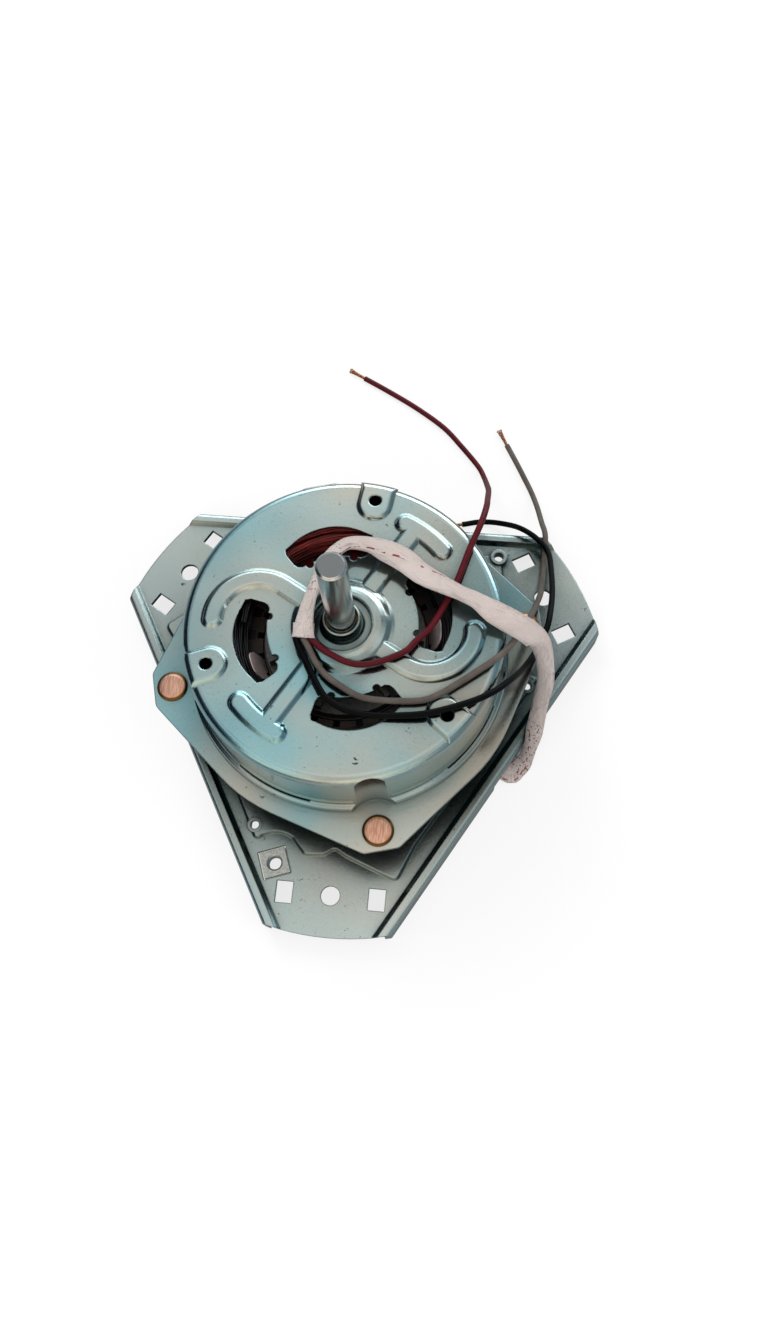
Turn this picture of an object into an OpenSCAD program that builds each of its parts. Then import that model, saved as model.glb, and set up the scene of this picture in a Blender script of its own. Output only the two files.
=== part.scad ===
// Spin motor of a twin-tub washing machine: two riveted pressed shells on a three-lobed bracket.
// Z is the shaft axis, z = 0 is the underside of the bracket, which is the mounting face.

/* [Shaft and rotor] */
// Diameter of the output shaft and of the bearing bores
shaft_d = 10; // [9:0.25:11]
// Length of shaft that stands above the bearing nose
shaft_free = 42; // [30:1:60]
// Diameter of the shaft inside the rotor
shaft_mid_d = 12; // [11.5:0.25:14]
// Outer diameter of the rotor
rotor_d = 59.6; // [56:0.2:61]
// Number of rotor bars
bar_count = 28; // [20:1:32]
// Diameter of a rotor bar
bar_d = 3.2; // [2.4:0.2:3.6]
// Number of fan blades on each end ring
blade_count = 7; // [5:1:12]
// Height of a fan blade above its ring
blade_h = 5; // [3:0.5:5.5]

/* [Stator] */
// Gap between the stator core and the wall of the shells
core_gap = 2.1; // [2:0.1:4]
// Air gap between the rotor and the stator core
air_gap = 0.4; // [0.3:0.1:0.8]
// Height of the stator stack, and of the rotor stack
core_h = 25; // [20:1:27]
// Number of stator slots
slot_count = 24; // [18:6:24]
// Diameter of one turn of the end winding
wire_d = 2.5; // [2:0.1:2.5]
// Distance between turns and between layers
turn_pitch = 3.3; // [3.3:0.05:3.4]
// Turns across the end winding
turns_across = 3; // [2:1:3]
// Layers of the end winding
turn_layers = 4; // [2:2:4]

/* [Shells] */
// Thickness of the shell sheet
shell_t = 1.2; // [0.9:0.1:1.4]
// Outer radius of the shell wall above its step
wall_r = 57.6; // [57.2:0.1:58.6]
// Distance by which the wall draws in towards its rim
rim_in = 0.5; // [0.2:0.1:0.8]
// Distance by which the wall steps out beside the flange
step_out = 2; // [1.4:0.1:2.6]
// Height of the wide band above the joint of the two shells
step_h = 5.2; // [4.4:0.2:6]
// Height of the upper shell above the joint
upper_depth = 33.1; // [32:0.1:36]
// Height of the lower shell below the joint
lower_depth = 24.6; // [24:0.1:28]
// Radius of the rounded rim
rim_fillet = 3.5; // [2:0.5:4.5]
// Angle of the shells on the bracket
shell_turn = 15; // [10:1:20]

/* [Flange and rivets] */
// Distance from a rivet out to the corners of its ear
ear_out = 7.3; // [6.6:0.1:9]
// Half angle between the two corners of an ear
ear_half_angle = 5; // [4:0.5:7]
// Width of the flange midway between two ears
flange_w = 7; // [6:0.2:8.4]
// Distance of the rivets outside the wall
rivet_out = 9.6; // [9.2:0.1:9.9]
// Diameter of a rivet head
rivet_head_d = 11.4; // [10:0.2:12]
// Diameter of a rivet shank
rivet_d = 6; // [5:0.5:7]
// Radius of the dent in the wall beside each rivet
dent_r = 11.5; // [11:0.1:11.7]

/* [Pressed relief] */
// Height of the ribs and pads above the face
relief_h = 1.5; // [1:0.1:2]
// Width of a rib at its foot
rib_w = 8; // [7:0.2:8.4]
// Width of the sloping side of a rib
rib_run = 2.2; // [1.6:0.1:2.8]
// Radius of the curl of a hooked rib
hook_r = 15.6; // [15:0.1:16]
// Distance from the shaft at which a hooked rib starts to curl
hook_start = 26.1; // [25.6:0.1:26.6]
// Radius of the cross bar of a T-shaped rib
bar_r = 44.8; // [44:0.1:45.2]
// Radius of the hub at its foot
hub_r = 18.3; // [17.5:0.1:19]
// Height of the hub above the face
hub_h = 2.7; // [2.4:0.1:3.2]
// Height of the bearing nose above the face
nose_h = 6.4; // [5.6:0.1:7.5]
// Clear radius of the nose round the shaft
nose_clear = 0.9; // [0.6:0.1:1.2]

/* [Holes in the shell] */
// Radius of the circle of tapped holes
tap_circle_r = 49.2; // [48.8:0.1:49.6]
// Core diameter of a tapped hole
tap_d = 4.2; // [3.6:0.1:4.6]
// Core diameter of a tapped hole that holds a screw of the bracket
low_tap_d = 3.6; // [3.2:0.1:4]
// Angle of the first tapped hole from the first ear
tap_angle = 67.1; // [66:0.1:68]
// Width of the pad round a tapped hole
pad_w = 13; // [12.4:0.2:13.6]
// Radius of the inner side of a vent
vent_in_r = 26.6; // [26:0.1:27.4]
// Radius of the outer side of a vent at its middle
vent_out_r = 38.6; // [38:0.1:39]
// Half angle of a vent
vent_half_angle = 27.5; // [22:0.5:28]
// Height of a cooling slit in the wall
slit_h = 1.3; // [0.9:0.1:1.6]
// Angle that a cooling slit covers
slit_angle = 29; // [20:1:30]

/* [Bracket] */
// Thickness of the bracket plate
plate_t = 1.8; // [1.4:0.1:2.2]
// Radius of the circle of mounting holes
hole_circle_r = 85.5; // [84.5:0.5:87]
// Diameter of a mounting hole
mount_hole_d = 7.2; // [6:0.2:8]
// Distance of a slotted hole from its mounting hole
side_hole_x = 17.6; // [16.6:0.2:18.4]
// Width of a slotted hole
side_hole_w = 6.3; // [5.5:0.1:7]
// Length of a slotted hole
side_hole_l = 8.2; // [7:0.2:9]
// Distance of a long edge from the shaft
edge_r = 70; // [69.5:0.5:72]
// Distance from a mounting hole to the end of its lobe
lobe_out = 15.5; // [14:0.5:17]
// Height of the raised platform in the middle
platform_h = 1.6; // [1.2:0.1:2]
// Depth of the turned-down lip below the mounting face
lip_h = 8; // [7.5:0.5:12]
// Height of the rounded bead along a long edge
bead_h = 1.8; // [1.2:0.1:2.4]
// Diameter of the opening in the middle
opening_d = 80; // [76:1:84]
// Width across the flats of the square nut
nut_w = 10; // [9:0.5:10.5]
// Core diameter of the square nut
nut_bore_d = 5; // [4:0.2:5.6]
// Gap between the nut and its square hole
nut_gap = 0.4; // [0.3:0.1:0.8]

/* [Leads] */
// Diameter of an insulated lead
lead_d = 2.3; // [1.8:0.1:2.4]
// Width of the flat fabric sleeve
sleeve_w = 8.4; // [7.6:0.2:8.6]
// Thickness of the flat fabric sleeve
sleeve_t = 3.4; // [2.8:0.1:3.5]
// Diameter of the bare twisted strands
strand_d = 1.4; // [1:0.1:1.8]

/* [Hidden] */
$fn = 64;

// Heights
seat_z = plate_t + platform_h;
lower_face_z = seat_z + relief_h;
joint_z = lower_face_z + lower_depth;
upper_face_z = joint_z + upper_depth;
cavity_mid_z = (lower_face_z + upper_face_z) / 2;
core_z = cavity_mid_z - core_h / 2;
shaft_top_z = upper_face_z + nose_h + shaft_free;
shaft_low_z = lower_face_z - nose_h - 1.5;
nose_top_z = upper_face_z + nose_h;
// Oil groove of the shaft, inside the nose
groove_w = 1.2;
groove_t = 0.4;

// Radii of the shells, the stator and the bracket
rim_r = wall_r - rim_in;
step_r = wall_r + step_out;
rivet_r = wall_r + rivet_out;
ear_r = rivet_r + ear_out;
flange_mid_r = step_r + flange_w;
flange_curve_r = 60;
core_d = 2 * (wall_r - shell_t - core_gap);
core_bore = rotor_d + 2 * air_gap;
lobe_r = hole_circle_r + lobe_out;

// Clearances
press_gap = 0.02;
run_gap = 0.03;
seat_gap = 0.05;
rest_gap = 0.3;
cut = 1;

// Bearings
bush_r = 8;
bush_h = 10;
bush_depth = 5;
nose_r = shaft_d / 2 + nose_clear;
upper_bush_z = upper_face_z - bush_depth;
lower_bush_z = lower_face_z + bush_depth;
washer_t = 0.5;
shoulder_top_z = upper_bush_z - bush_h / 2 - washer_t - 2 * rest_gap;
shoulder_low_z = lower_bush_z + bush_h / 2 + washer_t + 2 * rest_gap;

// Tapped holes of the shells, and the screws in the lower ones
tap_collar_h = 2;
tap_collar_r = tap_d / 2 + 1.3;
tap_chamfer = 0.4;
screw_d = low_tap_d - 0.2;
screw_head_d = 8.4;
screw_head_h = 3;
screw_hole_d = screw_d + 1.6;
washer_d = 10;
washer_bore_d = screw_d + 1.4;
washer_h = 1;
screw_l = washer_h + plate_t + relief_h + shell_t + tap_collar_h;

zinc = [0.66, 0.74, 0.75];
bright_steel = [0.62, 0.62, 0.62];
dark_steel = [0.22, 0.22, 0.24];
copper = [0.80, 0.55, 0.42];
enamel = [0.38, 0.08, 0.07];
bronze = [0.60, 0.46, 0.26];
felt = [0.30, 0.28, 0.25];
cast_aluminium = [0.72, 0.72, 0.72];
paper = [0.80, 0.76, 0.66];

function polar(r, a) = [r * cos(a), r * sin(a)];
function arc(centre, r, a0, a1, steps) =
    [for (i = [0:steps]) centre + polar(r, a0 + (a1 - a0) * i / steps)];
function unit(v) = v / norm(v);
function last(list) = len(list) - 1;

// Rounds the corners [x, y, radius] of a counterclockwise outline
function rounded(corners, steps = 4) = [for (i = [0:last(corners)])
    let (here = [corners[i][0], corners[i][1]], r = corners[i][2],
        back = corners[(i + last(corners)) % len(corners)], front = corners[(i + 1) % len(corners)],
        to_back = unit([back[0], back[1]] - here), to_front = unit([front[0], front[1]] - here),
        half = acos(to_back * to_front) / 2, centre = here + unit(to_back + to_front) * r / sin(half),
        start = here + to_back * r / tan(half) - centre, end = here + to_front * r / tan(half) - centre,
        a0 = atan2(start[1], start[0]), turn = (atan2(end[1], end[0]) - a0 + 540) % 360 - 180)
    each r == 0 ? [here] : [for (k = [0:steps]) centre + polar(r, a0 + turn * k / steps)]];

// Pushes every side of a counterclockwise outline inwards by d
function inset(path, d) = [for (i = [0:last(path)])
    let (side_a = unit(path[i] - path[(i + last(path)) % len(path)]),
        side_b = unit(path[(i + 1) % len(path)] - path[i]),
        out_a = [side_a[1], -side_a[0]], out_b = [side_b[1], -side_b[0]])
    path[i] - d * (out_a + out_b) / (1 + out_a * out_b)];

// Solid between two outlines with the same number of points, both seen whole from the origin
module frustum(low, low_z, high, high_z) {
    n = len(low);
    polyhedron(
        points = concat([for (p = low) [p[0], p[1], low_z]], [for (p = high) [p[0], p[1], high_z]],
            [[0, 0, low_z], [0, 0, high_z]]),
        faces = [for (i = [0:n - 1]) let (j = (i + 1) % n)
            each [[i, j, 2 * n], [n + j, n + i, 2 * n + 1], [i, n + i, n + j], [i, n + j, j]]]);
}

// Tube that is swept along a route, with its section's upper side turned to each hint
function tangents(path) = [for (i = [0:last(path)])
    unit(path[min(i + 1, last(path))] - path[max(i - 1, 0)])];
function ring(centre, t, hint, a, b, sides) =
    let (across = unit(cross(t, hint)), up = cross(across, t))
    [for (k = [0:sides - 1]) let (q = 360 * (k + 0.5) / sides)
        centre + across * a * cos(q) + up * b * sin(q)];
module tube(path, hints, a, b, sides) {
    n = len(path);
    t = tangents(path);
    points = [for (i = [0:n - 1]) each ring(path[i], t[i], hints[i], a, b, sides)];
    walls = [for (i = [0:n - 2], k = [0:sides - 1])
        let (p = i * sides + k, q = i * sides + (k + 1) % sides)
        each [[p, q, q + sides], [p, q + sides, p + sides]]];
    polyhedron(points = points, faces = concat(walls,
        [for (k = [1:sides - 2]) [0, k + 1, k]],
        [for (k = [1:sides - 2]) [(n - 1) * sides, (n - 1) * sides + k, (n - 1) * sides + k + 1]]));
}
// Hints of a round tube: each is carried on from the one before
function carried(path, first) = let (t = tangents(path))
    [for (i = 0, n = first; i < len(path); i = i + 1,
        n = i < len(path) ? unit(n - (n * t[i]) * t[i]) : n) n];

// Pressed relief: sharp at its foot and soft at its crest
crest_steps = 4;
foot = 0.5;
function half_rib(w, run, h) = let (spread = foot * run / crest_steps / (h * sin(90 / crest_steps)))
    concat([[0, -foot], [w / 2 + spread, -foot]],
    [for (i = [1:crest_steps]) [w / 2 - run * i / crest_steps, h * sin(90 * i / crest_steps)]], [[0, h]]);
function full_rib(w, run, h) = let (half = half_rib(w, run, h))
    concat([for (i = [1:last(half) - 1]) half[i]], [for (i = [last(half) - 1:-1:1]) [-half[i][0], half[i][1]]]);
module rib_end(w, run, side) rotate([0, 0, 90 * side - 90]) rotate_extrude(angle = 180)
    polygon(half_rib(w, run, relief_h));
module rib_straight(from, to, w, run)
    translate([from, 0, 0]) rotate([90, 0, 90]) linear_extrude(to - from) polygon(full_rib(w, run, relief_h));
module rib_arc(r, from, sweep, w, run)
    rotate([0, 0, from]) rotate_extrude(angle = sweep) translate([r, 0]) polygon(full_rib(w, run, relief_h));

// End of a rib that stands a hair wider than the arc it closes
cap_lap = 0.3;
cap_proud = 0.05;
module rib_cap() translate([0, -cap_lap, 0]) rib_end(rib_w + 2 * cap_proud, rib_run, 1);

// T-shaped rib: a spoke with a curved cross bar
t_from = -16;
t_to = 6;
module t_rib() {
    rib_straight(spoke_start, bar_r, rib_w, rib_run);
    rib_arc(bar_r, t_from, t_to - t_from, rib_w, rib_run);
    rotate([0, 0, t_from]) translate([bar_r, 0, 0]) rib_end(rib_w, rib_run, -1);
    rotate([0, 0, t_to]) translate([bar_r, 0, 0]) rib_cap();
}

// Hooked rib: a spoke that curls round the end of a vent
hook_sweep = 124;
module hooked_rib() {
    rib_straight(spoke_start, hook_start, rib_w, rib_run);
    translate([hook_start, hook_r, 0]) {
        rib_arc(hook_r, -90, hook_sweep, rib_w, rib_run);
        rotate([0, 0, hook_sweep - 90]) translate([hook_r, 0, 0]) rib_cap();
    }
}

// Outer and inner lines of the pressed shell, from the joint to the face
spoke_start = hub_r - 2.3;
rim_steps = 6;
function rim_line(r, depth, fillet) =
    [for (i = [0:rim_steps]) [r - fillet, depth - fillet] + polar(fillet, 90 * i / rim_steps)];
function outer_wall(depth) = [[step_r, 0], [step_r, step_h - 0.8], [step_r - 0.5, step_h - 0.1],
    [wall_r + 0.3, step_h + 0.5], [wall_r, step_h + 1]];
function inner_wall() = [for (p = outer_wall(0)) [p[0] - shell_t, p[1]]];
function hub_line() = [[hub_r, 0], [hub_r - 1.2, 0.18 * hub_h], [hub_r - 3, 0.6 * hub_h],
    [hub_r - 4.8, 0.87 * hub_h], [hub_r - 6.4, hub_h], [10.9, hub_h], [10.4, hub_h - 0.3], [10.2, well_d],
    [nose_r + 2.1, well_d], [nose_r + 1.6, well_d + 0.5], [nose_r + 1.5, well_d + 1.5],
    [nose_r + 0.7, nose_h - 0.3], [nose_r + 0.4, nose_h], [nose_r, nose_h]];
function hub_inside() = [[nose_r, -bush_depth], [cup_r + shell_t, -bush_depth],
    [cup_r + shell_t, -2], [cup_r + 0.6, well_d - shell_t], [11.3, well_d - shell_t],
    [11.5, hub_h - shell_t], [hub_r - 5.2, 0.8 * hub_h - shell_t], [hub_r - 2, 0.25 * hub_h - shell_t],
    [hub_r + 0.3, -shell_t]];
well_d = 0.65;
cup_r = bush_r + seat_gap;
function lifted(line, z) = [for (p = line) [p[0], p[1] + z]];
function reversed(line) = [for (i = [last(line):-1:0]) line[i]];

module envelope(depth)
    rotate_extrude() polygon(concat([[0, 0]], outer_wall(depth), rim_line(rim_r, depth, rim_fillet),
        [[0, depth]]));

vent_centre = 16.75;
vent_notch = 1.4;
module vent() {
    bow = vent_out_r - vent_centre;
    reach = asin(vent_centre * sin(vent_half_angle) / bow) + vent_half_angle;
    inner_a = vent_half_angle;
    outline = concat(
        [for (i = [-8:8]) polar(vent_in_r, -inner_a * 0.86 * i / 8)],
        rounded_end(-1), [for (i = [-8:8]) [vent_centre, 0] + polar(bow, reach * 0.8 * i / 8)], rounded_end(1));
    linear_extrude(4 * relief_h + shell_t, center = true) {
        polygon(outline);
        for (a = [-17.5, 17.5]) translate(polar(vent_in_r - vent_notch / 4, a)) circle(r = vent_notch);
    }
}
function rounded_end(side) = side < 0
    ? [polar(vent_in_r + 1.1, -vent_half_angle * 0.965), polar(vent_in_r + 2.6, -vent_half_angle),
        polar(vent_out_r - 4.4, -vent_half_angle), polar(vent_out_r - 2.6, -vent_half_angle * 0.95)]
    : [polar(vent_out_r - 2.6, vent_half_angle * 0.95), polar(vent_out_r - 4.4, vent_half_angle),
        polar(vent_in_r + 2.6, vent_half_angle), polar(vent_in_r + 1.1, vent_half_angle * 0.965)];

ear_angles = [0, 90, 180, 270];
pad_angles = [for (i = [0:2]) tap_angle + 120 * i];
slit_angles = [45, 135, 233, 314];
pad_run = 1.75;
module pad(depth) intersection() {
    translate([0, 0, depth]) {
        translate([tap_circle_r - 1.2, 0, 0]) rib_end(pad_w, pad_run, 2);
        rib_straight(tap_circle_r - 1.2, rim_r + 2, pad_w, pad_run);
    }
    translate([0, 0, relief_h]) envelope(depth);
}

// Outline of the flange with its four ears
function flange_outline() = rounded([for (a = ear_angles) each
    [concat(polar(ear_r, a - ear_half_angle), 3.5), concat(polar(ear_r, a + ear_half_angle), 3.5),
        concat(polar(flange_mid_r, a + 45), flange_curve_r)]], 5);

// Pressed shell that stands on the joint and faces upwards
module shell(depth, hole_d) difference() {
    union() {
        linear_extrude(shell_t) difference() {
            polygon(flange_outline());
            circle(r = step_r - shell_t / 2);
        }
        rotate_extrude() polygon(concat(outer_wall(depth), rim_line(rim_r, depth, rim_fillet),
            lifted(hub_line(), depth), lifted(hub_inside(), depth),
            reversed(rim_line(rim_r - shell_t, depth - shell_t, rim_fillet - shell_t)),
            reversed(inner_wall())));
        intersection() {
            envelope(depth);
            for (a = ear_angles) rotate([0, 0, a]) translate([rivet_r, 0, 0])
                cylinder(r = dent_r + shell_t, h = depth + cut);
        }
        translate([0, 0, depth]) for (a = [0, 180]) rotate([0, 0, a]) {
            rotate([0, 0, 45]) t_rib();
            rotate([0, 0, 135]) hooked_rib();
        }
        for (a = pad_angles) rotate([0, 0, a]) {
            pad(depth);
            translate([tap_circle_r, 0, depth - shell_t - tap_collar_h])
                cylinder(r = tap_collar_r, h = shell_t + tap_collar_h);
        }
    }
    for (a = ear_angles) rotate([0, 0, a]) {
        translate([rivet_r, 0, shell_t]) cylinder(r = dent_r, h = depth + relief_h + cut);
        translate([rivet_r, 0, -cut]) cylinder(r = rivet_d / 2 + seat_gap, h = shell_t + 2 * cut);
        translate([0, 0, depth]) vent();
    }
    for (a = pad_angles) rotate([0, 0, a]) translate([tap_circle_r, 0, 0]) {
        translate([0, 0, depth - 3 * tap_collar_h]) cylinder(d = hole_d, h = 6 * tap_collar_h);
        translate([0, 0, depth + relief_h - tap_chamfer])
            cylinder(d1 = hole_d, d2 = hole_d + 2 * tap_chamfer, h = tap_chamfer + 0.01);
    }
    for (a = slit_angles) rotate([0, 0, a - slit_angle / 2]) rotate_extrude(angle = slit_angle)
        translate([wall_r - 3, step_h + 0.3]) square([6, slit_h]);
    translate([0, 0, depth - bush_depth]) sphere(r = cup_r, $fn = 96);
}

module upper_shell() color(zinc) translate([0, 0, joint_z]) rotate([0, 0, shell_turn]) shell(upper_depth, tap_d);

module lower_shell() color(zinc) translate([0, 0, joint_z]) rotate([0, 0, shell_turn])
    mirror([0, 0, 1]) shell(lower_depth, low_tap_d);

module shell_rivets() color(copper) for (a = ear_angles) rotate([0, 0, a + shell_turn])
    translate([rivet_r, 0, joint_z]) rotate_extrude() polygon(concat([[0, -head_low]],
        [[rivet_head_d / 2 - 1.2, -head_low], [rivet_head_d / 2, -shell_t - 0.3], [rivet_head_d / 2, -shell_t],
            [rivet_d / 2, -shell_t], [rivet_d / 2, shell_t], [rivet_head_d / 2, shell_t],
            [rivet_head_d / 2, shell_t + 0.4], [rivet_head_d / 2 - 0.6, shell_t + 0.9],
            [rivet_head_d / 2 - 1.8, shell_t + 1.15], [0, shell_t + 1.3]]));
head_low = shell_t + 1.3;

// Bracket, with local X pointing out along a lobe and local Y to its side
lobe_angles = [30, 150, 270];
nut_at = [75, -22.6];
nut_turn = 20;
collar_at = [61.5, -31.8];
crown_at = [76.7, 23.4];
function platform_lobe() = concat([[68.7, -31, 2.4]],
    [for (a = [210:-12:150]) concat(nut_at + polar(10.6, a), 0)],
    [[72.2, -11.6, 3], [71.4, -3.6, 2.6], [69, 0, 1], [71.3, 4.1, 2.6], [79.3, 24.9, 3], [63.8, 31.3, 5]]);
function turned(path, a) = [for (p = path)
    [p[0] * cos(a) - p[1] * sin(a), p[0] * sin(a) + p[1] * cos(a), p[2]]];
function platform_outline() = rounded([for (a = lobe_angles) each turned(platform_lobe(), a)]);

// Cross-section of a long edge: a raised bead that rolls down into a lip
roll_r = plate_t;
bead_top = plate_t + bead_h;
function edge_section() = concat(
    [[edge_r - 8, 0], [edge_r - 5, 0], [edge_r - 4.1, 0.3 * bead_h], [edge_r - 3.2, bead_h - 0.2],
        [edge_r - plate_t - 0.9, bead_h], [edge_r - plate_t, bead_h - 0.6], [edge_r - plate_t, -lip_h], [edge_r, -lip_h]],
    [for (i = [0:4]) [edge_r - roll_r, bead_top - roll_r] + polar(roll_r, 90 * i / 4)],
    [[edge_r - 3.7, bead_top], [edge_r - 4.6, plate_t + 0.55 * bead_h], [edge_r - 5.5, plate_t], [edge_r - 8, plate_t]]);

notch_w = 16;
notch_top = -1.5;
notch_s = 5;
module mounting_bracket() color(zinc) difference() {
    union() {
        intersection() {
            union() {
                linear_extrude(plate_t) polygon([for (a = [90, 210, 330]) polar(2 * (edge_r - 6), a + 180)]);
                for (a = [90, 210, 330]) rotate([0, 0, a]) rotate([90, 0, 0])
                    linear_extrude(2 * lobe_r, center = true) polygon(edge_section());
            }
            translate([0, 0, -lip_h - cut]) cylinder(r = lobe_r, h = lip_h + bead_top + 2 * cut, $fn = 128);
        }
        frustum(platform_outline(), plate_t / 2, inset(platform_outline(), 1.4), seat_z);
        for (a = lobe_angles) rotate([0, 0, a]) translate([collar_at[0], collar_at[1], plate_t / 2])
            cylinder(r = 2.9, h = platform_h + 1);
        rotate([0, 0, lobe_angles[0]]) translate([crown_at[0], crown_at[1], plate_t / 2])
            cylinder(r = 3.4, h = platform_h + 1.8);
    }
    frustum(inset(platform_outline(), 1), -cut, inset(platform_outline(), 2.2), platform_h);
    translate([0, 0, -cut]) {
        cylinder(d = opening_d, h = seat_z + 2 * cut);
        for (a = pad_angles) rotate([0, 0, a + shell_turn]) translate([tap_circle_r, 0, 0])
            cylinder(d = screw_hole_d, h = seat_z + 2 * cut);
        for (a = lobe_angles) rotate([0, 0, a]) {
            translate([hole_circle_r, 0, 0]) cylinder(d = mount_hole_d, h = seat_z + 2 * cut);
            for (s = [-1, 1]) translate([hole_circle_r, s * side_hole_x, 0])
                linear_extrude(seat_z + 2 * cut) square([side_hole_l, side_hole_w], center = true);
            translate([collar_at[0], collar_at[1], 0]) cylinder(r = 1.6, h = seat_z + 3 * cut);
        }
        rotate([0, 0, lobe_angles[0]]) translate([crown_at[0], crown_at[1], 0]) cylinder(r = 2, h = seat_z + 4 * cut);
        rotate([0, 0, lobe_angles[2]]) translate([nut_at[0], nut_at[1], 0]) rotate([0, 0, nut_turn])
            linear_extrude(seat_z + 2 * cut) square(nut_w + 2 * nut_gap, center = true);
    }
    rotate([0, 0, 330]) translate([edge_r - 5, notch_s - notch_w / 2, -lip_h - cut])
        cube([10, notch_w, lip_h + notch_top + cut]);
}

module square_nut() color(bright_steel) rotate([0, 0, lobe_angles[2]])
    translate([nut_at[0], nut_at[1], plate_t - 0.3 - nut_t]) rotate([0, 0, nut_turn]) difference() {
        linear_extrude(nut_t) square(nut_w, center = true);
        translate([0, 0, -cut]) cylinder(d = nut_bore_d, h = nut_t + 2 * cut);
        translate([0, 0, nut_t - 0.6]) cylinder(d1 = nut_bore_d, d2 = nut_bore_d + 1.2, h = 0.601);
    }
nut_t = 5;

module bracket_screws() color(bright_steel) for (a = pad_angles) rotate([0, 0, a + shell_turn])
    translate([tap_circle_r, 0, platform_h - washer_h]) rotate_extrude() polygon([[0, -screw_head_h],
        [screw_head_d / 2 - 0.8, -screw_head_h], [screw_head_d / 2, -screw_head_h + 1.2], [screw_head_d / 2, 0],
        [screw_d / 2, 0], [screw_d / 2, screw_l - 0.6], [screw_d / 2 - 0.6, screw_l], [0, screw_l]]);

module bracket_washers() color(bright_steel) for (a = pad_angles) rotate([0, 0, a + shell_turn])
    translate([tap_circle_r, 0, platform_h - washer_h]) difference() {
        cylinder(d = washer_d, h = washer_h);
        translate([0, 0, -cut]) cylinder(d = washer_bore_d, h = washer_h + 2 * cut);
    }

// Stator
slot_in_r = core_bore / 2 + 2.2;
yoke_w = 7.9;
slot_out_r = core_d / 2 - yoke_w;
slot_mouth = 2.4;
tooth_w = 4.2;
function slot_outline(d) = let (a = 180 / slot_count)
    [[slot_in_r + d, slot_half(slot_in_r + d) - d], [slot_in_r + d, -slot_half(slot_in_r + d) + d],
        [slot_out_r - d, -slot_half(slot_out_r - d) + d], [slot_out_r - d, slot_half(slot_out_r - d) - d]];
function slot_half(r) = r * tan(180 / slot_count) - tooth_w / 2;
liner_t = 0.4;
module stator_core() color(dark_steel) translate([0, 0, core_z]) linear_extrude(core_h) difference() {
    circle(d = core_d);
    circle(d = core_bore);
    for (i = [0:slot_count - 1]) rotate(360 * i / slot_count) {
        polygon(slot_outline(0));
        translate([core_bore / 2 - 1, -slot_mouth / 2]) square([slot_in_r - core_bore / 2 + 1.5, slot_mouth]);
    }
}
module slot_liners() color(paper) translate([0, 0, core_z]) linear_extrude(core_h)
    for (i = [0:slot_count - 1]) rotate(360 * i / slot_count) difference() {
        polygon(slot_outline(seat_gap));
        polygon(slot_outline(seat_gap + liner_t));
    }
module slot_conductors() color(enamel) translate([0, 0, core_z]) linear_extrude(core_h)
    for (i = [0:slot_count - 1]) rotate(360 * i / slot_count) polygon(slot_outline(liner_t + 2 * seat_gap));

// End winding: one unbroken wire that spirals out and in, layer upon layer
wind_in = 3.6;
wind_in_r = slot_in_r + wind_in;
rings_per_turn = 20;
tail = wire_d;
function wind_r(t) = let (layer = floor(t / turns_across), u = t - layer * turns_across,
        across = min(u, turns_across - 0.5))
    wind_in_r + turn_pitch * (layer % 2 == 0 ? across : turns_across - 0.5 - across);
function wind_z(t) = let (layer = floor(t / turns_across), u = t - layer * turns_across)
    turn_pitch * (layer + max(0, 2 * (u - turns_across + 0.5)));
wind_turns = turns_across * turn_layers - 0.5;
wind_rings = wind_turns * rings_per_turn;
function wind_point(i) = let (t = i / rings_per_turn, p = polar(wind_r(t), 360 * t)) [p[0], p[1], wind_z(t)];
winding_line = [for (i = [0:wind_rings]) wind_point(i)];
winding_path = concat([winding_line[0] - tail * unit(winding_line[1] - winding_line[0])], winding_line,
    [winding_line[wind_rings] + tail * unit(winding_line[wind_rings] - winding_line[wind_rings - 1])]);
least_gap = min([for (i = [0:last(winding_path)], j = [i + 6:1:last(winding_path)])
    norm(winding_path[i] - winding_path[j])]) - wire_d;
echo(str("least gap between turns of an end winding: ", least_gap, " mm"));
module end_winding() tube(winding_path, [for (p = winding_path) [0, 0, 1]], wire_d / 2, wire_d / 2, 6);
winding_lift = rest_gap + wire_d / 2;
module upper_winding() color(enamel) translate([0, 0, core_z + core_h + winding_lift]) end_winding();
module lower_winding() color(enamel) translate([0, 0, core_z - winding_lift]) mirror([0, 0, 1]) end_winding();

// Bearings, built facing upwards with the face of the shell at z = 0
module bush() color(bronze) translate([0, 0, -bush_depth]) difference() {
    intersection() {
        sphere(r = bush_r, $fn = 96);
        cylinder(r = bush_r + cut, h = bush_h, center = true);
    }
    cylinder(r = shaft_d / 2 + run_gap, h = bush_h + 2 * cut, center = true);
}
felt_r = 14;
felt_h = 3.8;
felt_low = 5.8;
module felt_ring() color(felt) translate([0, 0, -felt_low]) difference() {
    cylinder(r = felt_r, h = felt_h);
    translate([0, 0, -cut]) cylinder(r = cup_r + shell_t + rest_gap, h = felt_h + 2 * cut);
}

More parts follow.
